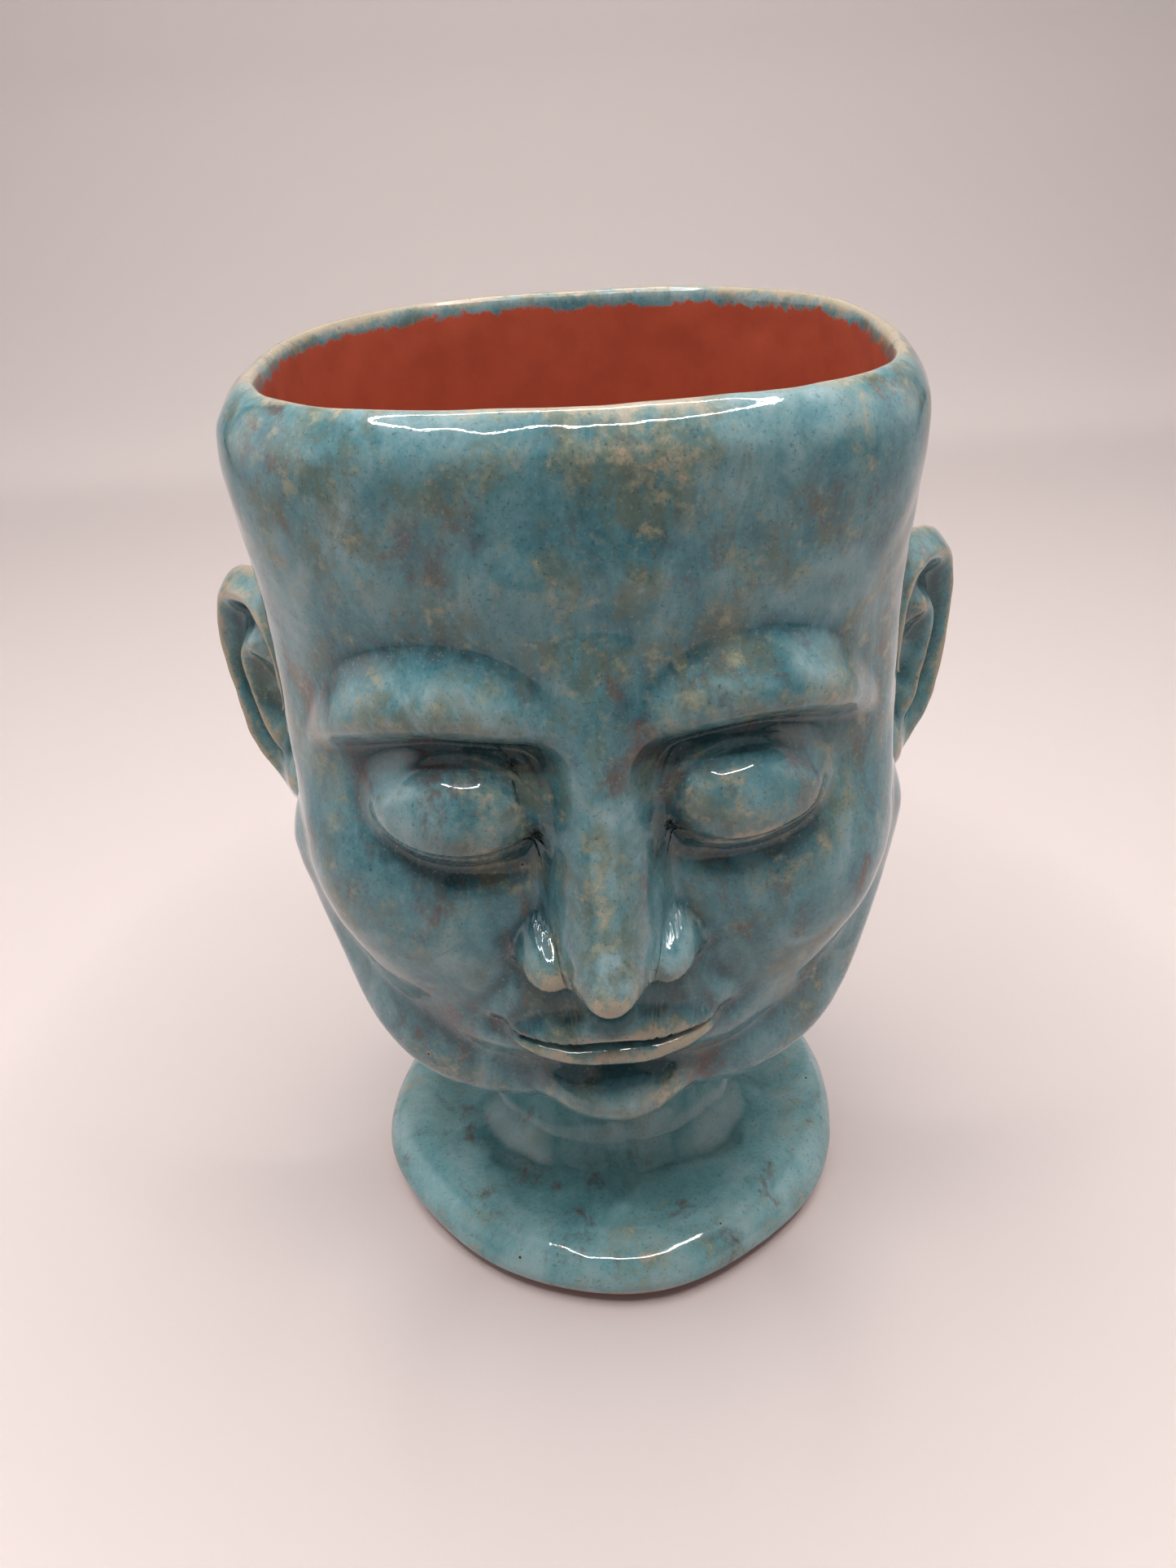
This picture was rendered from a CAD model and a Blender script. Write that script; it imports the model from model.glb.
import math

import bpy
import numpy as np
from mathutils import Matrix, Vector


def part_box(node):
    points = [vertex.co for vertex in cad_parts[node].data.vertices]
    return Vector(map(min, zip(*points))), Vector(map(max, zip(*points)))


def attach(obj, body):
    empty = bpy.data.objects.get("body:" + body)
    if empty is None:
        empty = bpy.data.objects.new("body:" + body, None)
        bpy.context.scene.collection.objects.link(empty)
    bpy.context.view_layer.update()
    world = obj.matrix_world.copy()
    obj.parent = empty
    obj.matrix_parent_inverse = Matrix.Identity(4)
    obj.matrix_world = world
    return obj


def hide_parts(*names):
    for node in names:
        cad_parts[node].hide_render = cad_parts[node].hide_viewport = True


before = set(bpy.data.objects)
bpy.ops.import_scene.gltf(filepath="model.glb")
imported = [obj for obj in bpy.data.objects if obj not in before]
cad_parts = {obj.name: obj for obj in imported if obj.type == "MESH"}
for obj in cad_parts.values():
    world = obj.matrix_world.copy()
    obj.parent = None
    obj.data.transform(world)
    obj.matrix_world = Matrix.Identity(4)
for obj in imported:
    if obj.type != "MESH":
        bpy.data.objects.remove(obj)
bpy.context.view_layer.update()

# -------------------------------------------------------------------------------- Foot, neck, wall and lip
# The pot is red clay, pinched up from a round foot through a waisted neck to a head with a wall about 5 mm
# thick, with a coil laid round its lip. The joins are smoothed over, so the four pieces share one outline,
# from the middle of the foot's underside up the outside, over the lip and down to the cup's floor. All sizes
# of the pot are millimetres.

MM = 0.001
# Spacing of the skin's points, on the face and behind
FINE, COARSE = ((0.485, 1.6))


def cad(node):
    """Lowest and highest corner of a CAD node, in millimetres."""
    return [np.array(corner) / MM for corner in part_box(node)]


neck_low, neck_high = cad("neck")
wall_low, wall_high = cad("head_cup")
FOOT_RADIUS = cad("foot_disc")[1][0]
WALL_RADIUS = wall_high[0]
WALL = 4.8
FLOOR = wall_low[2] + 8.0
FRONT_POWER, BACK_POWER = 3.0, 2.1  # 2 is an oval plan, and more is squarer
PLAN_DEEP = wall_high[1] / wall_high[0]
ROUND = 37.0  # the wall's usual radius, which turns an angle round the head into a distance along its wall

# Radius and height of each stretch of the outline
UNDERSIDE = [(0.0, 0.0), (FOOT_RADIUS / 2, 0.0), (FOOT_RADIUS - 2.6, 0.0)]
FOOT = [(FOOT_RADIUS - 1.0, 0.3), (FOOT_RADIUS, 2.0), (FOOT_RADIUS - 0.4, 3.9), (FOOT_RADIUS - 1.8, 5.6),
        (FOOT_RADIUS - 3.9, 6.6), (FOOT_RADIUS - 6.4, 6.8), (FOOT_RADIUS - 9.2, 6.2),
        (FOOT_RADIUS - 12.4, 6.0), (20.8, 7.4)]
NECK = [(18.6, 9.8), (17.2, 13.0), (16.4, 18.0), (16.9, 23.5), (18.6, 27.6), (21.6, 30.2)]
OUTSIDE = [(25.6, 32.0), (30.6, 36.4), (34.4, 44.0), (36.9, 56.0), (38.2, 75.0), (38.1, 95.0), (38.8, 110.0),
           (39.15, 116.5)]
LIP = [(WALL_RADIUS - 0.25, wall_high[2]), (WALL_RADIUS - 0.9, 122.2), (WALL_RADIUS - 2.0, 123.8),
       (WALL_RADIUS - 3.1, 124.7), (WALL_RADIUS - 3.9, 124.8), (WALL_RADIUS - 4.45, 124.2),
       (WALL_RADIUS - 4.7, 122.8)]
INSIDE = [(WALL_RADIUS - WALL, wall_high[2]), (34.0, 110.0), (33.3, 95.0), (33.4, 75.0), (32.1, 57.0),
          (29.0, FLOOR + 9.0), (24.0, FLOOR + 3.0), (16.0, FLOOR), (8.0, FLOOR), (0.0, FLOOR)]


def smooth_line(stations, per_span):
    """Points along a smooth curve through the stations. Each span is the cubic that has, at both its ends,
    the slope between that station's two neighbours."""
    p = np.array(stations, float)
    p = np.vstack([2 * p[0] - p[1], p, 2 * p[-1] - p[-2]])
    t = np.linspace(0, 1, per_span, endpoint=False)[:, None, None]
    before, start, end, after = p[:-3], p[1:-2], p[2:-1], p[3:]
    spans = start + (end - before) / 2 * t + (2 * before - 5 * start + 4 * end - after) / 2 * t**2
    spans += (3 * start - before - 3 * end + after) / 2 * t**3
    return np.vstack([spans.transpose(1, 0, 2).reshape(-1, p.shape[1]), p[-2]])


def along(line):
    """Distance along a line of points to each of them: the lengths of its stretches, added up."""
    return np.append(0, np.cumsum(np.linalg.norm(np.diff(line, axis=0), axis=1)))


def step(value, low, high):
    """0 below low, 1 above high, and between them the cubic with a level start and end."""
    t = np.clip((value - low) / (high - low), 0, 1)
    return t * t * (3 - 2 * t)


climb = UNDERSIDE + FOOT + NECK + OUTSIDE
PER_SPAN = 24
outline = smooth_line(climb + LIP + INSIDE, PER_SPAN)
outline[:, 1] = np.maximum(outline[:, 1], 0)
outline_run = along(outline)
LIP_START, LIP_END = outline_run[[PER_SPAN * len(climb), PER_SPAN * len(climb + LIP)]]
RUN_END = outline_run[-1]
climbing = outline_run <= LIP_START
NECK_START, HEAD_START = [outline_run[climbing][np.argmax(outline[climbing, 1] >= level)]
                          for level in (neck_low[2], wall_low[2])]
EDGE_START = outline_run[PER_SPAN * (len(UNDERSIDE) - 1)]


def bare_pot(turn, run):
    """The pot without its face: the outline at the distance run along it, swung round by turn from the face's
    middle. Above the neck the circle is pressed towards a rounded square, whose sine and cosine raised to a
    power add up to 1, with a square front and a round back. Three slow waves leave the wall uneven."""
    radius = np.interp(run, outline_run, outline[:, 0])
    height = np.interp(run, outline_run, outline[:, 1])
    power = np.where(np.cos(turn) > 0, FRONT_POWER, BACK_POWER)
    plan = (np.abs(np.sin(turn)) ** power + np.abs(np.cos(turn) / PLAN_DEEP) ** power) ** (-1 / power)
    pressed = step(height, neck_high[2] - 9, neck_high[2] + 6)
    radius = radius * (1 + (plan - 1) * pressed)
    uneven = 0.35 * np.sin(3 * turn + 0.6) + 0.3 * np.sin(5 * turn + 2.0) + 0.2 * np.sin(8 * turn)
    radius = radius + uneven * step(radius, 24, 34) * step(-height, -9, -7)
    return np.stack([radius * np.sin(turn), -radius * np.cos(turn), height], axis=-1)


def spread(low, high, spacing):
    """Positions from low to high, each as far from the next as spacing says there: the sum of 1 / spacing
    goes up by one from each to the next."""
    at = np.linspace(low, high, 6000)
    count = np.append(0, np.cumsum(np.diff(at) / spacing((at[1:] + at[:-1]) / 2)))
    return np.interp(np.linspace(0, count[-1], int(count[-1]) + 1), count, at)


# The points are close on the face, wider on the foot and widest at the back, on the underside and inside
ROW_PLACES = [EDGE_START - 4, EDGE_START, HEAD_START, HEAD_START + 6, LIP_END + 2, LIP_END + 9]
ROW_SPACING = [5, 1.5, 1.5, 1, 1, 4]
columns = spread(-math.pi, math.pi,
                 lambda turn: (FINE + (COARSE - FINE) * step(np.abs(turn), 1.9, 2.3)) / ROUND)[:-1]
rows = spread(COARSE, RUN_END - COARSE, lambda run: FINE * np.interp(run, ROW_PLACES, ROW_SPACING))
for seam in (NECK_START, HEAD_START, LIP_START, LIP_END):
    rows[np.argmin(np.abs(rows - seam))] = seam
turn, run = np.meshgrid(columns, rows)

# ------------------------------------------------------------------------------------------ Clay on the wall
# Each feature of the face is a lump or a roll of soft clay pressed onto the wall. It is made here as a height
# over the wall, from side, the distance round the wall from the face's middle, and z, the height.


def middle(node):
    """Side and height of a CAD node's middle. The side is its angle round the pot times the wall's radius."""
    centre = sum(cad(node)) / 2
    return abs(math.atan2(centre[0], -centre[1])) * ROUND, centre[2]


UNDER = 4.0  # how far under the wall each height goes on, so that its fillet is complete


def lump(side, z, at, radii, proud, power=2.0, tilt=0.0):
    """A rounded lump: as high as proud at its middle, less by a power of the share of the way out to its oval
    edge, so nothing at the edge, and under the wall outside it."""
    across, up = side - at[0], z - at[1]
    across, up = across * math.cos(tilt) + up * math.sin(tilt), up * math.cos(tilt) - across * math.sin(tilt)
    share = np.sqrt((across / radii[0]) ** 2 + (up / radii[1]) ** 2)
    return np.maximum(proud * (1 - share**power), -UNDER)


def dent(side, z, at, radii):
    """1 at the dent's middle, falling away all round as a bell: e to minus the squares of the shares of its
    radii."""
    return np.exp(-(((side - at[0]) / radii[0]) ** 2) - ((z - at[1]) / radii[1]) ** 2)


def line(offset, width):
    """1 on a line, falling away to both sides as a bell."""
    return np.exp(-((offset / width) ** 2))


def join(low, high, soft):
    """The higher of two heights, with a fillet where they are less than soft apart: a quarter of soft at the
    most, less by the square of how far apart they are."""
    near = np.maximum(1 - np.abs(low - high) / soft, 0)
    return np.maximum(low, high) + near**2 * soft / 4


# -------------------------------------------------------------------------------------------- Eyes and lids
# A ball of clay sits in each hollowed socket, under two thin lids that are shut on a curved slit.

eye_side, eye_level = middle("eyeball_left")


def sockets(side, z):
    """The hollow round each eye: one wide bell, and a small deeper one beside the nose."""
    hollow = -2.6 * dent(side, z, (eye_side + 0.2, eye_level + 0.8), (10.5, 8.5))
    return hollow - 1.7 * dent(side, z, (eye_side - 7.7, eye_level + 3.2), (3.0, 4.5))


def eye_lines(side):
    """Across the eye from -1 to 1, and the heights of the slit, the upper lid's fold and the lower one's.
    Each line is a parabola across the eye."""
    across = (side - eye_side) / 8.6
    bow = np.clip(1 - across**2, -1, 1)
    slit = eye_level - 2.2 - 1.7 * bow + 0.5 * across
    return across, slit, eye_level + 0.6 + 5.0 * bow, eye_level - 4.0 - 3.4 * bow


def eyes(side, z):
    """The ball under the lids: an oval dome."""
    return lump(side, z, (eye_side, eye_level - 0.4), (10.6, 8.2), 5.4, 2.0) - 1.1


def lid_lines(side, z):
    """The slit as a narrow groove, the upper lid's thickness as a low step over it, and a soft groove for the
    fold above the lids and for the one below."""
    across, slit, fold, bag = eye_lines(side)
    taper = np.sqrt(np.clip(1 - across**2, 0, 1))
    lines = 0.7 * taper * step(z, slit - 0.3, slit + 0.3) * step(-z, -fold - 2, -fold + 2)
    lines = lines - 0.8 * taper * line(z - slit + 0.35, 0.45)
    lines = lines - 0.6 * step(taper, 0.1, 0.8) * line(z - fold, 0.8)
    return lines - 0.3 * step(taper, 0.1, 0.8) * line(z - bag, 1.2)


# ----------------------------------------------------------------------------------------------------- Brows
# A roll arches over each eye. It is sharper below than above, and thins out to both ends.

brow_side = middle("brow_left")[0] + 0.4
brow_top = cad("brow_left")[1][2]


def brows(side, z):
    """A parabola over and under a bowed crest, whose height falls from the brow's middle to its two ends."""
    share = (side - brow_side) / 14.6
    crest = brow_top - 3.0 - 5.6 * share**2 - 0.4 * share
    width = np.where(z > crest, 5.6, 3.8)
    return np.maximum(4.3 * (1 - np.abs(share) ** 2.2) - 4.0 * ((z - crest) / width) ** 2, -UNDER)


# ------------------------------------------------------------------------------------------------------ Nose
# A wedge of clay stands out from between the eyes to a ball at its tip, with a small lump on each side for
# the wings and two nostrils pressed in from below.

nose_low = cad("nose")[0]
wing_side, wing_level = middle("nose_wing_left")
# Height, and how proud or how wide the nose is there
NOSE_RIDGE = smooth_line([(59.5, -2.5), (60.6, 2.0), (61.6, 6.5), (62.8, 10.2), (64.4, 12.4), (66.4, 13.0),
                          (69.0, 12.0), (73.0, 9.7), (79.0, 7.0), (85.0, 4.9), (89.5, 3.8), (94.0, 2.9),
                          (99.0, 1.2), (104.0, -1.0)], 8)
NOSE_HALF = smooth_line([(59.5, 8.0), (63.0, 8.6), (67.0, 8.8), (72.0, 8.6), (78.0, 8.0), (84.0, 7.4),
                         (89.5, 7.4), (94.0, 8.6), (99.0, 10.5), (104.0, 12.0)], 8)


def nose(side, z):
    """As proud and as wide as its two lines say at each height, and round on its ridge: the height falls with
    the square of the share of the half width. The tip is a ball, joined on."""
    proud = np.interp(z, NOSE_RIDGE[:, 0], NOSE_RIDGE[:, 1])
    across = np.abs(side) / np.interp(z, NOSE_HALF[:, 0], NOSE_HALF[:, 1])
    bridge = proud - np.maximum(proud + 2.0, 0.5) * across**2 / (0.65 + 0.35 * across)
    tip = lump(side, z, (0.0, 66.0), (6.2, 5.6), 13.2, 2.4)
    return np.maximum(join(bridge, tip, 1.8), -UNDER)


def nose_wings(side, z):
    """A small dome beside the tip."""
    return lump(side, z, (wing_side - 0.2, wing_level + 0.5), (5.0, 4.6), 7.8, 2.3)


def nostrils(side, z):
    """A small bell pressed in under the tip, on each side."""
    return -3.4 * dent(side, z, (3.9, nose_low[2] + 1.0), (1.7, 1.0))


# ----------------------------------------------------------------------------------------------------- Mouth
# The lips are two rolls laid on a rounded mound, shut on a nearly straight line. The upper has a soft bow,
# and the lower is fuller.

MOUTH = (cad("upper_lip")[0][2] + cad("lower_lip")[1][2]) / 2
HALF_MOUTH = 13.8


def mound(side, z):
    """A wide low dome under both lips."""
    return lump(side, z, (0.0, MOUTH + 0.2), (19.0, 12.5), 4.4, 2.2)


def lip_shares(side, z):
    """The share of the way up the upper lip and down the lower one, the mouth's taper, which is a parabola to
    its corners, and the height of the line where the lips meet."""
    taper = np.clip(1 - (side / HALF_MOUTH) ** 2, 0, 1)
    meet = MOUTH + 0.1 + 0.35 * np.cos(side / 2.4) * line(side, 6)
    bow = 0.5 * line(side - 2.9, 1.8) - 0.55 * line(side, 1.4)
    upper = (z - meet) / ((4.1 + bow) * np.maximum(taper, 0.02) ** 0.75)
    lower = (meet - z) / (5.5 * np.maximum(taper, 0.02) ** 0.6)
    return upper, lower, taper, meet


def lips(side, z):
    """Each lip is half a sine wave, from the meeting line to its border, which has a thin raised edge. The
    corners are pressed in, and the meeting line is a groove."""
    upper, lower, taper, meet = lip_shares(side, z)
    roll_up = 1.8 * np.sin(math.pi * np.clip(upper, 0, 1) ** 0.68) + 0.35 * (1 - step(upper, 0.85, 1.25))
    roll_down = 2.4 * np.sin(math.pi * np.clip(lower, 0, 1) ** 0.72) + 0.1 * (1 - step(lower, 0.85, 1.25))
    rolls = np.where(z > meet, roll_up, roll_down) * taper**0.6
    corners = -1.1 * dent(side, z, (HALF_MOUTH + 0.6, MOUTH), (2.0, 1.9))
    return rolls + corners - 1.1 * taper**0.4 * line(z - meet, 0.5)


def soft_folds(side, z):
    """Bells and bell-shaped lines: the groove over the upper lip, the fold from the nose's wing to beside the
    mouth, the hollow under the lower lip, the temples and the brow bones."""
    groove = 0.4 * line(side - 2.7, 1.0) - 0.8 * line(side, 1.5)
    groove = groove * step(z, MOUTH + 3.2, MOUTH + 4.6) * step(-z, -nose_low[2] - 0.6, -nose_low[2] + 0.8)
    beside = -0.6 * line(side - 11.2 - 5.6 * step(-z, -63.5, -53.5), 1.8)
    beside = beside * step(z, 50, 55) * step(-z, -66, -62)
    under = -1.7 * dent(side, z, (0.0, MOUTH - 7.6), (10.0, 2.1))
    temple = -1.2 * dent(side, z, (33.0, 98.0), (9.0, 12.0))
    return groove + beside + under + temple + 0.7 * dent(side, z, (11.0, 108.0), (11.0, 9.0))


# ------------------------------------------------------------------------------------- Cheeks, chin and jaw
# Flat pads round out the cheekbones, a ball makes the chin, and a roll from under each ear to the chin makes
# the face's lower edge firm.

cheek_side, cheek_level = middle("cheek_left")
chin_level = middle("chin")[1]
JAW = smooth_line([(44.0, 68.0), (41.5, 58.0), (36.5, 48.5), (28.0, 41.0), (17.0, 36.6), (4.0, 34.8)], 10)


def cheeks(side, z):
    """A tilted oval dome."""
    return lump(side, z, (cheek_side + 1.2, cheek_level + 0.8), (16.5, 11.5), 3.4, 2.0, math.radians(20))


def chin(side, z):
    """An oval dome, flatter on top."""
    return lump(side, z, (0.0, chin_level + 0.4), (13.5, 8.2), 8.0, 2.3)


def jaw_hollow(side, z):
    """The wall is pressed in a little under each cheekbone, so that the face narrows to the chin."""
    return -2.4 * dent(side, z, (44.0, 50.0), (17.0, 17.0))


def jaw(side, z):
    """A parabola over the distance to the jaw's line."""
    near = np.min([np.hypot(side - at, z - level) for at, level in JAW], axis=0)
    return np.maximum(3.0 * (1 - (near / 6.5) ** 2), -UNDER)


# ----------------------------------------------------------------------------------------------------- Ears
# Each ear is a flat egg of clay, stuck to the side of the head by its front edge and flared out. Its border
# is rolled over into the helix, a second ridge runs inside it, and a thumb has pressed in the hollow.

ear_low, ear_high = cad("ear_left")
EAR_MIDDLE = np.array([wall_high[0] + 4.2, (ear_low[1] + ear_high[1]) / 2 + 0.15,
                       (ear_low[2] + ear_high[2]) / 2 + 0.3])
EAR_HALF_HEIGHT, EAR_HALF_WIDTH = 18.0, 9.8
EAR_FLARE, EAR_LEAN = math.radians(52), math.radians(8)
# Share of the way out, and 1 on the hollow side to -1 on the back
EAR_SECTION = smooth_line([(0.03, 1), (0.3, 1), (0.6, 1), (0.82, 0.97), (0.95, 0.75), (1.0, 0.28),
                           (1.0, -0.28), (0.95, -0.75), (0.82, -0.97), (0.6, -1), (0.3, -1), (0.03, -1)],
                          11)


def ear_roots(side, z):
    """The wall swells in an oval dome where the ear is stuck on."""
    return lump(side, z, (61.0, ear_low[2] + 18.0), (7.5, 17.0), 2.4, 2.0)


def ear_relief(across, up):
    """Height of the ear's hollow side over its flat. The rolled rim, the groove and the ridge inside it are
    bells round an oval, and the hollow, the small flap in front of it and the lobe are bells at a point."""
    out = np.hypot(across / EAR_HALF_WIDTH, up / EAR_HALF_HEIGHT)
    way = np.arctan2(up / EAR_HALF_HEIGHT, across / EAR_HALF_WIDTH)
    rolled = step(way, -1.1, -0.4)
    helix = 2.3 * rolled * line(out - 0.84, 0.13)
    groove = -0.9 * rolled * line(out - 0.62, 0.12)
    inner = 1.7 * step(way, -1.5, -0.9) * step(-way, -2.2, -1.4) * line(out - 0.42, 0.12)
    hollow = -3.2 * dent(across, up, (-1.6, -2.5), (4.0, 6.5))
    flap = 2.4 * dent(across, up, (-6.6, -3.0), (2.2, 3.0))
    lobe = 1.3 * dent(across, up, (-0.5, -13.5), (4.5, 3.6))
    return 1.4 + helix + groove + inner + hollow + flap + lobe


# ---------------------------------------------------------------------------------------- Smoothing the skin
# Wet fingers blend every join, and leave the whole pot a little uneven. Under the glaze only the forms show.


def height_at(run):
    """Height over the table at that distance along the outline."""
    return np.interp(run, outline_run, outline[:, 1])


def relief(turn, run):
    """Height of all the clay over the bare wall: the highest piece at each place with a fillet at each join,
    then the lines and folds added. It dies away towards the back, the lip and the neck."""
    side, z = np.abs(turn) * ROUND, height_at(run)
    height = sockets(side, z)
    for piece, soft in ((cheeks, 3.5), (jaw, 3.5), (brows, 2.6), (eyes, 2.2), (mound, 3.0), (chin, 3.0),
                        (nose, 3.0), (nose_wings, 2.4)):
        height = join(height, piece(side, z), soft)
    height = height + lid_lines(side, z) + lips(side, z) + soft_folds(side, z) + nostrils(side, z)
    height = height * step(-np.abs(turn), -1.52, -1.1) + jaw_hollow(side, z)
    height = join(height, ear_roots(side, z), 2.0)
    return height * step(-run, -LIP_START + 2, -LIP_START + 14) * step(run, HEAD_START, HEAD_START + 5)


def wobble(points, wavelength, seed, waves=10):
    """A smooth uneven field of about -1 to 1: plane sine waves in random directions, added together."""
    rng = np.random.default_rng(seed)
    ways = rng.normal(size=(waves, 3))
    ways *= (2 * math.pi / wavelength * rng.uniform(0.7, 1.4, waves) / np.linalg.norm(ways, axis=1))[:, None]
    return np.sin(points @ ways.T + rng.uniform(0, 2 * math.pi, waves)).sum(axis=-1) / math.sqrt(waves)


def hand_made(points):
    """Bends the whole pot a little, by a slow wobble of its own in each direction, and leaves the underside
    flat on the table."""
    loose = step(points[..., 2:3], 0, 12)
    shift = np.stack([wobble(points, 75, seed) for seed in (11, 12, 13)], axis=-1)
    return points + shift * loose * (0.45, 0.45, 0.25)


def raised(turn, run, height):
    """The bare pot raised by height. Near the face's middle the clay stands straight forward, and round the
    sides it stands square to the wall."""
    heading = turn * step(np.abs(turn) * ROUND, 3, 34)
    out = np.stack([np.sin(heading), -np.cos(heading), np.zeros_like(heading)], axis=-1)
    return bare_pot(turn, run) + out * height[..., None]


def blur(field, times, axes=(0, 1)):
    """Averages each point of a grid with its neighbours, as 1, 2 and 1 quarters, along the axes, that many
    times. The second axis goes all the way round."""
    for _ in range(times):
        for axis in axes:
            if axis == 1:
                field = (np.roll(field, 1, 1) + 2 * field + np.roll(field, -1, 1)) / 4
            else:
                inner = (field[:-2] + 2 * field[1:-1] + field[2:]) / 4
                field = np.concatenate([field[:1], inner, field[-1:]])
    return field


def even_out(lines, gaps, bare_gaps):
    """Slides the points along each grid line, so that steep clay gets as many of them as flat clay does: the
    gaps of the raised clay are shared out as those of the bare wall are."""
    for at, gap, bare in zip(lines, gaps, bare_gaps):
        where, wanted = np.append(0, np.cumsum(gap)), np.append(0, np.cumsum(bare))
        at[:] = np.interp(wanted / wanted[-1], where / where[-1], at)


face_rows = slice(np.searchsorted(rows, HEAD_START + 4), np.searchsorted(rows, LIP_START - 1))
face_columns = slice(*np.searchsorted(columns, (-1.5, 1.5)))
for _ in range(3):
    made, bare = raised(turn, run, relief(turn, run)), bare_pot(turn, run)
    for axis in (0, 1):
        gaps, bare_gaps = [np.linalg.norm(np.diff(points[face_rows, face_columns], axis=axis), axis=-1)
                           for points in (made, bare)]
        gaps = np.maximum(blur(gaps, 12, (1 - axis,)), 0.1 * FINE) ** 0.9
        bare_gaps = bare_gaps ** 0.9
        if axis == 0:
            even_out(run[face_rows, face_columns].T, gaps.T, bare_gaps.T)
        else:
            even_out(turn[face_rows, face_columns], gaps, bare_gaps)


def unit(vectors):
    """Each vector divided by its length."""
    return vectors / np.maximum(np.linalg.norm(vectors, axis=-1, keepdims=True), 1e-12)


def normals_of(points):
    """Outward normals of a grid whose first axis climbs and whose second goes all the way round: square to
    both directions of the grid."""
    around = np.roll(points, -1, axis=1) - np.roll(points, 1, axis=1)
    return unit(np.cross(around, np.gradient(points, axis=0)))


def bend_of(points, normals):
    """How sharply a grid bends, per millimetre: over 0 on edges and ridges, under 0 in grooves and hollows.
    It is how far the two neighbours lie under the point, over the square of their distance, in both
    directions."""
    bend = np.zeros(points.shape[:2])
    for axis in (0, 1):
        before, after = np.roll(points, 1, axis), np.roll(points, -1, axis)
        span = (np.linalg.norm(after - points, axis=-1) + np.linalg.norm(points - before, axis=-1)) / 2
        pull = ((after + before - 2 * points) * normals).sum(axis=-1)
        bend -= pull / np.maximum(span, 0.05) ** 2
    bend[0], bend[-1] = bend[1], bend[-2]
    return bend


pot = hand_made(raised(turn, run, relief(turn, run)))
pot_normals = normals_of(pot)
dents = 0.11 * wobble(pot, 24, 23) + 0.05 * wobble(pot, 8, 21) + 0.02 * wobble(pot, 4.5, 22)
pot = pot + pot_normals * (dents * step(pot[..., 2], 0.5, 4) * step(-run, -LIP_END - 6, -LIP_END))[..., None]
pot_normals = normals_of(pot)
bend = np.clip(bend_of(pot, pot_normals), -1.5, 1.5)
height = height_at(run)
# What the glaze does at each point: it runs off edges, pools in hollows, stops a little way down the inside
# and just over the table, thins on ridges and under the lip, and is paler on the foot
COVERED = -9.0
GLAZE_INSIDE, GLAZE_OVER_TABLE = 2.5, 0.9
foot_bare = np.where(run < NECK_START, (GLAZE_OVER_TABLE - height) * 5, COVERED)
pot_looks = {
    "edge": blur(bend, 2),
    "hollow": blur(np.maximum(-bend, 0), 14),
    "bare": np.where(run > LIP_START, run - LIP_END + GLAZE_INSIDE, foot_bare),
    "thin": 0.08 * step(run, LIP_START - 6, LIP_START) + 0.10 * step(relief(turn, run), 2, 10)
            + 0.16 * line(turn * ROUND, 15) * step(height, 60, 90) - 0.04,
    "pale": step(-run, -HEAD_START - 4, -NECK_START),
}

# -------------------------------------------------------------------------------------- Pieces of the skin
# The skin is cut into the pieces of clay that it was built from. Each is a closed solid down to its seat in
# the wall, and the wall has that same seat, so nothing shows where they meet.

SEAT_DEPTH = 1.0
seats = hand_made(raised(turn, run, np.minimum(relief(turn, run), 0) - SEAT_DEPTH))
neck_row, head_row, lip_row, inner_row = [int(np.argmin(np.abs(rows - seam)))
                                          for seam in (NECK_START, HEAD_START, LIP_START, LIP_END)]
# The pool holds every point that a piece may use: the skin, the seats under it, and four on the axis
FOOT_UNDER, FOOT_OVER, NECK_OVER, CUP_FLOOR = 2 * turn.size + np.arange(4)
middles = pot[[0, neck_row, head_row, -1]].mean(axis=1)
pool = np.concatenate([pot.reshape(-1, 3), seats.reshape(-1, 3), middles])
upright = [(0, 0, -1), (0, 0, 1), (0, 0, 1), (0, 0, 1)]
pool_normals = np.concatenate([pot_normals.reshape(-1, 3), -pot_normals.reshape(-1, 3), upright])
pool_looks = {key: np.concatenate([values.ravel(), values.ravel(), values[[0, 0, 0, -1], 0]])
              for key, values in pot_looks.items()}
number = np.arange(turn.size).reshape(turn.shape)
cells = np.stack([number[:-1], np.roll(number, -1, 1)[:-1], np.roll(number, -1, 1)[1:], number[1:]], axis=-1)


def clay(name, points, faces, looks, normals, slot, *nodes):
    """Makes a piece of clay from its points, its arrays of faces and what the glaze does at each point."""
    mesh = bpy.data.meshes.new(name)
    mesh.from_pydata((points * MM).tolist(), [], [face for group in faces for face in group.tolist()])
    mesh.shade_smooth()
    mesh.normals_split_custom_set_from_vertices(normals.tolist())
    for key, values in looks.items():
        mesh.attributes.new(key, "FLOAT", "POINT").data.foreach_set("value", values.astype(np.float32))
    piece = bpy.data.objects.new(name, mesh)
    bpy.context.scene.collection.objects.link(piece)
    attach(piece, "root")
    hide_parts(*nodes)
    mesh.materials.append(bpy.data.materials.get(slot) or bpy.data.materials.new(slot))
    return piece


def cut_out(name, faces, slot, *nodes):
    """A piece from faces that number the pool's points. Only the points that it uses go into it."""
    used, own = np.unique(np.concatenate([group.ravel() for group in faces]), return_inverse=True)
    ends = np.cumsum([group.size for group in faces])[:-1]
    faces = [part.reshape(group.shape) for part, group in zip(np.split(own, ends), faces)]
    looks = {key: values[used] for key, values in pool_looks.items()}
    return clay(name, pool[used], faces, looks, pool_normals[used], slot, *nodes)


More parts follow.
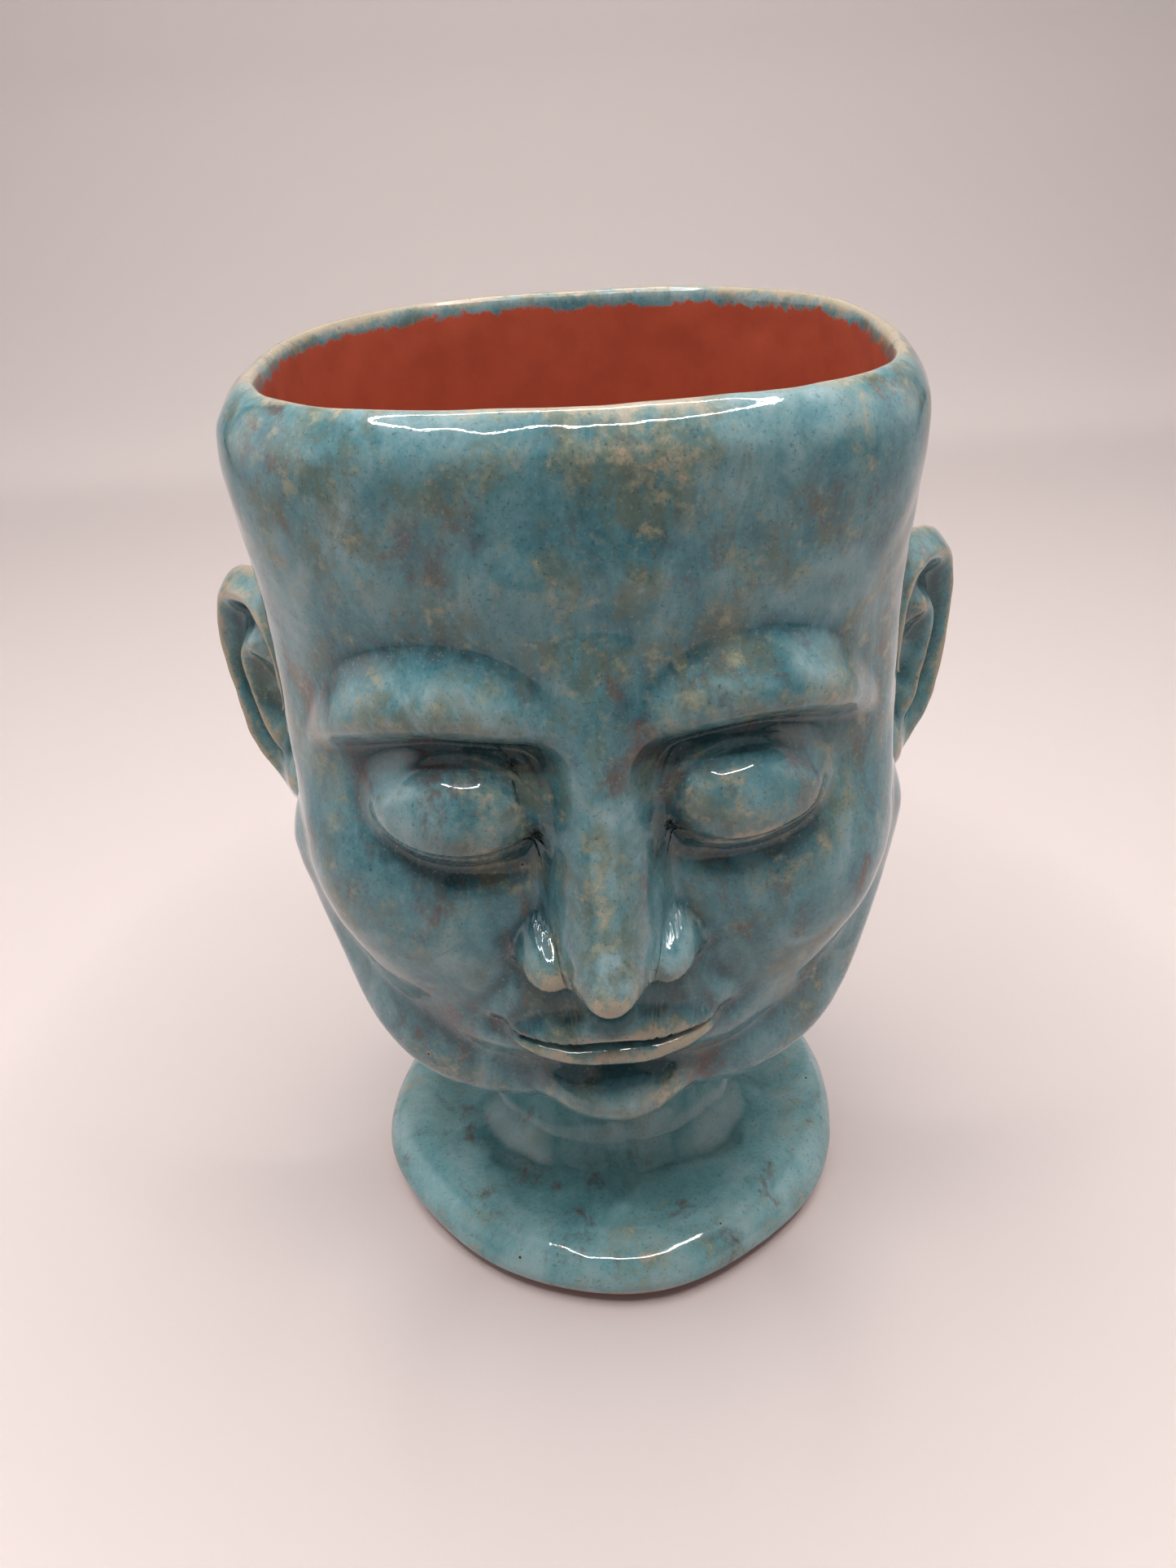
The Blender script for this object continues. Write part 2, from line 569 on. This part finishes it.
def borders(quads):
    """The edges of a set of quads that no other of them shares, each in its quad's direction: an edge is kept
    when it isn't there the other way round as well."""
    edges = np.concatenate([quads[:, [k, (k + 1) % 4]] for k in range(4)])
    forward, backward = edges[:, 0] * turn.size + edges[:, 1], edges[:, 1] * turn.size + edges[:, 0]
    return edges[~np.isin(forward, backward)]


def down_to_seat(quads):
    """Quads from the borders of some of the skin's quads down to the seat under them."""
    edges = borders(quads)
    return np.column_stack([edges[:, 1], edges[:, 0], edges[:, 0] + turn.size, edges[:, 1] + turn.size])


def fan(row, centre):
    """Triangles from a row of the skin to a point on the axis, facing up."""
    ring = number[row]
    return np.column_stack([ring, np.roll(ring, -1), np.full(len(ring), centre)])


def shelf(row, other):
    """A band of quads from one row of the skin straight across to another."""
    ring, far = number[row], number[other]
    return np.column_stack([ring, np.roll(ring, -1), np.roll(far, -1), far])


# Each cell of the skin belongs to the piece that claims it most. The first five pieces lie on the face's
# middle line, and the others are cut in two, left and right.
ON_THE_MIDDLE = 5
cell_side, cell_turn = np.abs(turn[:-1] + turn[1:]) / 2 * ROUND, (turn[:-1] + turn[1:]) / 2
cell_run = (run[:-1] + run[1:]) / 2
cell_z = height_at(cell_run)
on_face = (cell_run > HEAD_START + 6) & (cell_run < LIP_START - 3) & (np.abs(cell_turn) < 1.45)
_, slit, _, _ = eye_lines(cell_side)
in_upper, in_lower, mouth_taper, _ = lip_shares(cell_side, cell_z)
lidded = 20.0 * (eyes(cell_side, cell_z) > -0.6)
claims = {
    "mouth_mound": mound(cell_side, cell_z) - 0.4,
    "chin": chin(cell_side, cell_z) - 0.5,
    "nose": nose(cell_side, cell_z) - 0.5,
    "upper_lip": 30.0 * ((mouth_taper > 0.03) & (in_upper > 0) & (in_upper < 1.05)),
    "lower_lip": 30.0 * ((mouth_taper > 0.03) & (in_lower >= 0) & (in_lower < 1.05)),
    "cheek": cheeks(cell_side, cell_z) - 0.5,
    "jaw": jaw(cell_side, cell_z) - 0.4,
    "brow": brows(cell_side, cell_z) - 0.3,
    "nose_wing": nose_wings(cell_side, cell_z) - 0.3,
    "upper_lid": np.where(cell_z >= slit, lidded, -1),
    "lower_lid": np.where(cell_z < slit, lidded, -1),
}
owner = np.argmax([np.full(cell_side.shape, 0.01), *claims.values()], axis=0) * on_face
both_halves = (("_left", cell_turn > 0), ("_right", cell_turn <= 0))
for place, name in enumerate(claims, 1):
    for label, half in both_halves if place > ON_THE_MIDDLE else (("", True),):
        top = cells[(owner == place) & half]
        under_lid = ["eyeball" + label] * (name == "upper_lid")
        cut_out("glazed_" + name + label, [top, top[:, ::-1] + turn.size, down_to_seat(top)],
                "head_glaze", name + label, *under_lid)

foot_skin, neck_skin = cells[:neck_row].reshape(-1, 4), cells[neck_row:head_row].reshape(-1, 4)
lip_skin, inside_skin = cells[lip_row:inner_row].reshape(-1, 4), cells[inner_row:].reshape(-1, 4)
cut_out("glazed_foot", [fan(0, FOOT_UNDER)[:, ::-1], foot_skin, fan(neck_row, FOOT_OVER)],
        "foot_glaze", "foot_disc")
cut_out("glazed_neck", [fan(neck_row, FOOT_OVER)[:, ::-1], neck_skin, fan(head_row, NECK_OVER)],
        "foot_glaze", "neck")
wall, taken = cells[head_row:lip_row], owner[head_row:lip_row] > 0
cut_out("glazed_head",
        [fan(head_row, NECK_OVER)[:, ::-1], wall[~taken], wall[taken] + turn.size,
         down_to_seat(wall[taken])[:, ::-1], shelf(lip_row, inner_row), inside_skin,
         fan(len(rows) - 1, CUP_FLOOR)], "head_glaze", "head_cup")
cut_out("glazed_lip", [lip_skin, shelf(inner_row, lip_row)], "lip_glaze", "lip_coil")

# The ears are made apart from the skin. Each is a grid from the middle of its hollow side out over the edge
# to the middle of its back, egg-shaped and a little squared. It is leant back, swung out from the wall, and
# then bent and dented as the pot is. The right ear starts as the left one's mirror image.
ear_turns = np.linspace(0, 2 * math.pi, 200, endpoint=False)
SQUARED = 2.7
out, blend_over = EAR_SECTION[:, :1], EAR_SECTION[:, 1:]
squared = (np.abs(np.cos(ear_turns)) ** SQUARED + np.abs(np.sin(ear_turns)) ** SQUARED) ** (-1 / SQUARED)
broad = (1 + 0.24 * np.sin(ear_turns)) * squared
across = EAR_HALF_WIDTH * broad * np.cos(ear_turns) * out
up = EAR_HALF_HEIGHT * squared * np.sin(ear_turns) * out
front = ear_relief(across / broad, up / squared)
back = -1.6 - 2.6 * dent(across, up, (-2.0, -2.0), (6.0, 9.0))
flat = (front + back) / 2 + blend_over * (front - back) / 2
for label, hand in (("left", 1), ("right", -1)):
    lean = np.stack([across * math.cos(EAR_LEAN) + up * math.sin(EAR_LEAN), -flat,
                     up * math.cos(EAR_LEAN) - across * math.sin(EAR_LEAN)], axis=-1)
    swung_side = lean[..., 0] * math.cos(EAR_FLARE) - lean[..., 1] * math.sin(EAR_FLARE)
    swung_deep = lean[..., 0] * math.sin(EAR_FLARE) + lean[..., 1] * math.cos(EAR_FLARE)
    swung = np.stack([swung_side, swung_deep, lean[..., 2]], axis=-1)
    ear = hand_made((swung + EAR_MIDDLE) * (hand, 1, 1))
    if hand < 0:
        ear = ear[:, ::-1]
    ear_normals = -normals_of(ear)
    ear = ear + ear_normals * (0.10 * wobble(ear, 9, 21) + 0.05 * wobble(ear, 4.5, 22))[..., None]
    ear_bend = np.clip(bend_of(ear, ear_normals), -1.5, 1.5)
    grid = np.arange(ear.shape[0] * ear.shape[1]).reshape(ear.shape[:2])
    beyond = np.roll(grid, -1, 1)
    quads = np.stack([grid[:-1], grid[1:], beyond[1:], beyond[:-1]], axis=-1).reshape(-1, 4)
    poles = np.array([ear[0].mean(axis=0), ear[-1].mean(axis=0)])
    pole_normals = unit(np.array([ear_normals[0].mean(axis=0), ear_normals[-1].mean(axis=0)]))
    first = np.column_stack([grid[0], beyond[0], np.full(grid.shape[1], grid.size)])
    last = np.column_stack([beyond[-1], grid[-1], np.full(grid.shape[1], grid.size + 1)])
    looks = {
        "edge": blur(ear_bend, 2),
        "hollow": blur(np.maximum(-ear_bend, 0), 14),
        "bare": np.full(grid.shape, COVERED),
        "thin": np.full(grid.shape, 0.1),
        "pale": np.full(grid.shape, 0.3),
    }
    looks = {key: np.append(values.ravel(), values.ravel()[[0, -1]]) for key, values in looks.items()}
    clay(f"glazed_ear_{label}", np.concatenate([ear.reshape(-1, 3), poles]), [quads, first, last], looks,
         np.concatenate([ear_normals.reshape(-1, 3), pole_normals]), "head_glaze", f"ear_{label}")

# --------------------------------------------------------------------------------------------------- Glaze
# A thick glossy glaze covers the outside and laps a little way over the lip. It is turquoise where it has
# pooled, breaks to tan where it is thin, and is full of olive, rust and crystal flecks. Past it the fired
# clay is bare, matt and brick red.


def put(tree, kind, inputs=(), **settings):
    """Adds a shader node. Its inputs are values or other nodes' sockets."""
    node = tree.nodes.new("ShaderNode" + kind)
    for key, value in settings.items():
        setattr(node, key, value)
    for key, value in dict(inputs).items():
        if isinstance(value, bpy.types.NodeSocket):
            tree.links.new(value, node.inputs[key])
        else:
            node.inputs[key].default_value = value
    return node


def calculate(tree, operation, a, b=0.0):
    """One sum on two values or sockets."""
    return put(tree, "Math", {0: a, 1: b}, operation=operation).outputs[0]


def sum_of(tree, *terms, offset=0.0):
    """Each term's value times its weight, added together and to the offset."""
    total = offset
    for value, weight in terms:
        total = put(tree, "Math", {0: value, 1: weight, 2: total}, operation="MULTIPLY_ADD").outputs[0]
    return total


def noise(tree, place, size, detail=4.0, roughness=0.6, distortion=0.0):
    """Cloudy noise whose lumps are about as wide as size."""
    inputs = {"Vector": place, "Scale": 1 / size, "Detail": detail, "Roughness": roughness,
              "Distortion": distortion}
    return put(tree, "TexNoise", inputs).outputs["Fac"]


def blend(tree, share, first, second):
    """The first colour, with that share of the second over it."""
    node = put(tree, "Mix", {0: share, 6: first, 7: second}, data_type="RGBA")
    return node.outputs[2]


def fade(tree, value, low, high):
    """0 below low, 1 above high, smooth between."""
    inputs = {"Value": value, "From Min": low, "From Max": high}
    return put(tree, "MapRange", inputs, interpolation_type="SMOOTHSTEP").outputs["Result"]


def shades(tree, value, stops):
    """A colour that changes with the value, straight from each stop to the next."""
    node = put(tree, "ValToRGB", {"Fac": value})
    ramp = node.color_ramp
    while len(ramp.elements) < len(stops):
        ramp.elements.new(0.5)
    for element, (position, colour) in zip(ramp.elements, stops):
        element.position, element.color = position, (*colour, 1.0)
    return node.outputs["Color"]


def look(tree, name):
    """What the mesh says about the glaze at each point."""
    return put(tree, "Attribute", attribute_name=name).outputs["Fac"]


def glaze(name):
    """The glaze and, where it stops, the clay. Its colour is a ramp over its depth, which is a weighted sum
    of cloudy noises and of how hollow or sharp the pot is there. Flecks and thin places go over it."""
    material = bpy.data.materials[name]
    material.use_nodes = True
    tree = material.node_tree
    shader = tree.nodes["Principled BSDF"]
    metres = put(tree, "TexCoord").outputs["Object"]
    place = put(tree, "VectorMath", {0: metres, "Scale": 1 / MM}, operation="SCALE").outputs[0]
    run_down = put(tree, "VectorMath", {0: place, 1: (1.0, 1.0, 0.6)}, operation="MULTIPLY").outputs[0]
    edge, hollow, bare, thin_here, pale = [look(tree, key) for key in pot_looks]
    patches = noise(tree, run_down, 12, 6, 0.60, 0.9)
    clouds = noise(tree, run_down, 4, 6, 0.70, 0.6)
    grit = noise(tree, place, 1.3, 4, 0.7)
    dust = noise(tree, place, 0.45, 3, 0.75)

    # Where the glaze is thick it is deep teal, and where it is thinner it goes to turquoise and milky blue
    depth = sum_of(tree, (patches, 0.75), (clouds, 0.45), (grit, 0.15), (hollow, -0.6), (edge, 0.22),
                   offset=-0.165)
    colour = shades(tree, depth, [(0.31, (0.022, 0.066, 0.080)), (0.42, (0.048, 0.135, 0.162)),
                                  (0.52, (0.080, 0.190, 0.216)), (0.60, (0.132, 0.240, 0.262)),
                                  (0.70, (0.215, 0.305, 0.322))])
    foot_colour = shades(tree, depth, [(0.28, (0.058, 0.165, 0.184)), (0.50, (0.118, 0.256, 0.276)),
                                       (0.68, (0.205, 0.322, 0.338))])
    colour = blend(tree, pale, colour, foot_colour)
    # Iron specks through the glaze
    streaks = noise(tree, run_down, 5, 7, 0.72, 0.4)
    rust = calculate(tree, "MULTIPLY", fade(tree, streaks, 0.50, 0.66), fade(tree, patches, 0.60, 0.42))
    colour = blend(tree, calculate(tree, "MULTIPLY", rust, 0.80), colour, (0.098, 0.052, 0.044, 1))
    # Clouds of olive, and tan-green crystals in them
    region = sum_of(tree, (noise(tree, place, 12, 3, 0.55), 1.0), (thin_here, 0.45), (edge, 0.10))
    fewer_on_foot = sum_of(tree, (pale, -0.75), offset=1.0)
    region = calculate(tree, "MULTIPLY", fade(tree, region, 0.44, 0.62), fewer_on_foot)
    olive = fade(tree, noise(tree, run_down, 3.2, 6, 0.68, 0.5), 0.40, 0.60)
    olive = calculate(tree, "MULTIPLY", olive, region)
    colour = blend(tree, calculate(tree, "MULTIPLY", olive, 0.70), colour, (0.105, 0.118, 0.082, 1))
    crystals = calculate(tree, "MULTIPLY", fade(tree, noise(tree, place, 2.2, 5, 0.65), 0.52, 0.72), region)
    colour = blend(tree, calculate(tree, "MULTIPLY", crystals, 0.85), colour, (0.255, 0.255, 0.180, 1))
    # In patches, and along every edge, the glaze is thin and breaks to tan
    thin_patches = noise(tree, place, 9, 6, 0.7, 0.3)
    thin = sum_of(tree, (edge, 0.95), (thin_here, 1.0), (thin_patches, 3.4), (grit, 1.2), offset=-2.36)
    thin = fade(tree, thin, 0.05, 0.95)
    tan = shades(tree, thin, [(0.0, (0.105, 0.140, 0.110)), (0.5, (0.185, 0.205, 0.150)),
                              (1.0, (0.350, 0.285, 0.200))])
    colour = blend(tree, calculate(tree, "MULTIPLY", thin, 0.85), colour, tan)
    # Fine pale and dark specks
    pale_specks = calculate(tree, "MULTIPLY", fade(tree, dust, 0.57, 0.70), 0.40)
    dark_specks = calculate(tree, "MULTIPLY", fade(tree, dust, 0.43, 0.30), 0.50)
    colour = blend(tree, pale_specks, colour, (0.25, 0.26, 0.21, 1))
    colour = blend(tree, dark_specks, colour, (0.010, 0.035, 0.045, 1))
    # A few pinholes, each with a tan halo
    cell = put(tree, "TexVoronoi", {"Vector": place, "Scale": 0.34}, feature="F1")
    chance = put(tree, "SeparateColor", {"Color": cell.outputs["Color"]}).outputs[0]
    picked = fade(tree, chance, 0.92, 0.97)
    halo = calculate(tree, "MULTIPLY", picked, fade(tree, cell.outputs["Distance"], 0.20, 0.08))
    hole = calculate(tree, "MULTIPLY", picked, fade(tree, cell.outputs["Distance"], 0.09, 0.05))
    colour = blend(tree, calculate(tree, "MULTIPLY", halo, 0.45), colour, (0.28, 0.24, 0.17, 1))
    colour = blend(tree, hole, colour, (0.012, 0.022, 0.024, 1))

    # The glaze stops in a ragged line, and the clay is bare past it
    ragged = sum_of(tree, (bare, 1.0), (clouds, 4.0), (grit, 1.5), offset=-2.75)
    uncovered = fade(tree, ragged, -0.25, 0.30)
    clay_colour = shades(tree, noise(tree, place, 5, 5, 0.7), [(0.3, (0.290, 0.037, 0.010)),
                                                               (0.7, (0.360, 0.053, 0.016))])
    colour = blend(tree, uncovered, colour, clay_colour)
    tree.links.new(colour, shader.inputs["Base Color"])
    rough = sum_of(tree, (thin, 0.05), (uncovered, 0.68), offset=0.018)
    tree.links.new(rough, shader.inputs["Roughness"])
    shader.inputs["IOR"].default_value = 1.52

    # The glaze is almost a mirror, with the least grain and the pinholes sunk in it
    grain = sum_of(tree, (grit, 0.6), (dust, 0.2), (hole, -0.8), (noise(tree, place, 2.6, 3, 0.5), 0.8))
    bump = put(tree, "Bump", {"Height": grain, "Strength": 0.10, "Distance": 0.00016})
    tree.links.new(bump.outputs["Normal"], shader.inputs["Normal"])


for name in ("head_glaze", "lip_glaze", "foot_glaze"):
    glaze(name)

# ------------------------------------------------------------------------------------------------- Studio
# A sheet of pale paper curves up behind the pot in a small light tent: soft white sides, and a ring of small
# lamps overhead, which the glaze mirrors as thin bright rings. Sizes here are metres.


def stand(name, points, faces):
    """A stage piece with a plain material of its own."""
    mesh = bpy.data.meshes.new(name)
    mesh.from_pydata(points.tolist(), [], faces.tolist())
    mesh.shade_smooth()
    piece = bpy.data.objects.new(name, mesh)
    bpy.context.scene.collection.objects.link(piece)
    material = bpy.data.materials.new(name)
    material.use_nodes = True
    mesh.materials.append(material)
    return piece, material.node_tree


PAPER_SIDES = (-1.6, 1.6)
sweep_line = smooth_line([(-1.5, 0.0), (-0.5, 0.0), (0.25, 0.0), (0.40, 0.03), (0.52, 0.14), (0.56, 0.35),
                          (0.58, 1.4)], 12)
paper_points = np.concatenate([np.column_stack([np.full(len(sweep_line), side), sweep_line])
                               for side in PAPER_SIDES])
low_edge = np.arange(len(sweep_line) - 1)
high_edge = low_edge + len(sweep_line)
paper_faces = np.stack([low_edge, high_edge, high_edge + 1, low_edge + 1], axis=1)
_, paper = stand("paper_sweep", paper_points, paper_faces)
paper_place = put(paper, "SeparateXYZ", {0: put(paper, "TexCoord").outputs["Object"]}).outputs["Y"]
paper_tone = shades(paper, fade(paper, paper_place, 0.08, 0.42), [(0.0, (0.545, 0.481, 0.466)),
                                                                  (1.0, (0.580, 0.518, 0.500))])
paper.links.new(paper_tone, paper.nodes["Principled BSDF"].inputs["Base Color"])
paper.nodes["Principled BSDF"].inputs["Roughness"].default_value = 0.9


def glow(tree, strength):
    """Makes a stage piece's material give a warm white light and mirror nothing of its own colour."""
    shader = tree.nodes["Principled BSDF"]
    shader.inputs["Base Color"].default_value = (0, 0, 0, 1)
    shader.inputs["Emission Color"].default_value = (1.0, 0.965, 0.955, 1)
    if isinstance(strength, bpy.types.NodeSocket):
        tree.links.new(strength, shader.inputs["Emission Strength"])
    else:
        shader.inputs["Emission Strength"].default_value = strength


# Each lamp is a flat eight-sided disc that faces down, with its middle on the ring
LAMPS, LAMP_SIDES, LAMP_RADIUS = 84, 8, 0.0046
RING_RADIUS, RING_FORWARD, RING_HEIGHT = 0.17, 0.055, 0.47
RING_GLOW = 222.0
ring_turn = np.linspace(0, 2 * math.pi, LAMPS, endpoint=False)[:, None]
lamp_turn = np.linspace(0, 2 * math.pi, LAMP_SIDES, endpoint=False)
lamp_x = RING_RADIUS * np.cos(ring_turn) + LAMP_RADIUS * np.cos(lamp_turn)
lamp_y = RING_RADIUS * np.sin(ring_turn) - LAMP_RADIUS * np.sin(lamp_turn)
lamp_z = np.full(lamp_x.shape, RING_HEIGHT)
lamp_points = np.stack([lamp_x, lamp_y - RING_FORWARD, lamp_z], axis=-1).reshape(-1, 3)
lamp_faces = np.arange(LAMPS * LAMP_SIDES).reshape(-1, LAMP_SIDES)
ring, ring_tree = stand("ring_of_lamps", lamp_points, lamp_faces)
glow(ring_tree, RING_GLOW)
ring.visible_camera = False

# The tent's sides and roof glow most in their middles and fade to nothing at their edges
ONE_CARD = np.array([[0, 1, 2, 3]])
CARD_CORNERS = ((-0.5, -0.5), (0.5, -0.5), (0.5, 0.5), (-0.5, 0.5))
for name, centre, size, power in (("left_side", (-0.5, 0.05, 0.30), (0.0, 0.9, 0.8), 1.48),
                                  ("right_side", (0.5, 0.05, 0.30), (0.0, 0.9, 0.8), 1.12),
                                  ("roof", (0.0, 0.05, 0.60), (0.9, 0.9, 0.0), 1.28)):
    flat_way, up_way = [np.eye(3)[k] * size[k] for k in range(3) if size[k]]
    corners = np.array([centre + u * flat_way + v * up_way for u, v in CARD_CORNERS])
    side_panel, side_tree = stand(name, corners, ONE_CARD)
    spot = put(side_tree, "TexCoord").outputs["Object"]
    spot = put(side_tree, "VectorMath", {0: spot, 1: centre}, operation="SUBTRACT").outputs[0]
    away = put(side_tree, "VectorMath", {0: spot}, operation="LENGTH").outputs["Value"]
    glow(side_tree, calculate(side_tree, "MULTIPLY", fade(side_tree, away, 0.48, 0.12), power))
    side_panel.visible_camera = False

world = bpy.data.worlds.new("tent")
world.use_nodes = True
world.node_tree.nodes["Background"].inputs["Color"].default_value = (0.97, 0.93, 0.92, 1)
world.node_tree.nodes["Background"].inputs["Strength"].default_value = 0.36
bpy.context.scene.world = world

camera_data = bpy.data.cameras.new("camera")
camera_data.sensor_width, camera_data.lens = 36.0, 27.05
camera = bpy.data.objects.new("camera", camera_data)
bpy.context.scene.collection.objects.link(camera)
camera.location = (-0.0011, -0.1437, 0.1501)
tilt = Matrix.Rotation(math.radians(90 - 30.84), 3, "X")
roll = Matrix.Rotation(math.radians(-3.2), 3, "Z")
camera.rotation_euler = (tilt @ roll).to_euler()
camera_data.clip_start = 0.005

# A flat dark card stands just behind the lens, as a phone held upright would. The glaze mirrors it darkly.
PHONE_HALF_WIDTH, PHONE_LOW, PHONE_HIGH, PHONE_BEHIND = 0.037, -0.125, 0.03, 0.006
phone_corners = np.array([(-PHONE_HALF_WIDTH, PHONE_LOW, PHONE_BEHIND),
                          (PHONE_HALF_WIDTH, PHONE_LOW, PHONE_BEHIND),
                          (PHONE_HALF_WIDTH, PHONE_HIGH, PHONE_BEHIND),
                          (-PHONE_HALF_WIDTH, PHONE_HIGH, PHONE_BEHIND)])
phone_turn = np.array(camera.rotation_euler.to_matrix())
phone, phone_tree = stand("phone", phone_corners @ phone_turn.T + np.array(camera.location), ONE_CARD)
phone_tree.nodes["Principled BSDF"].inputs["Base Color"].default_value = (0.03, 0.03, 0.035, 1)
phone.visible_camera = False
bpy.context.scene.camera = camera
bpy.context.scene.view_settings.view_transform = "Standard"
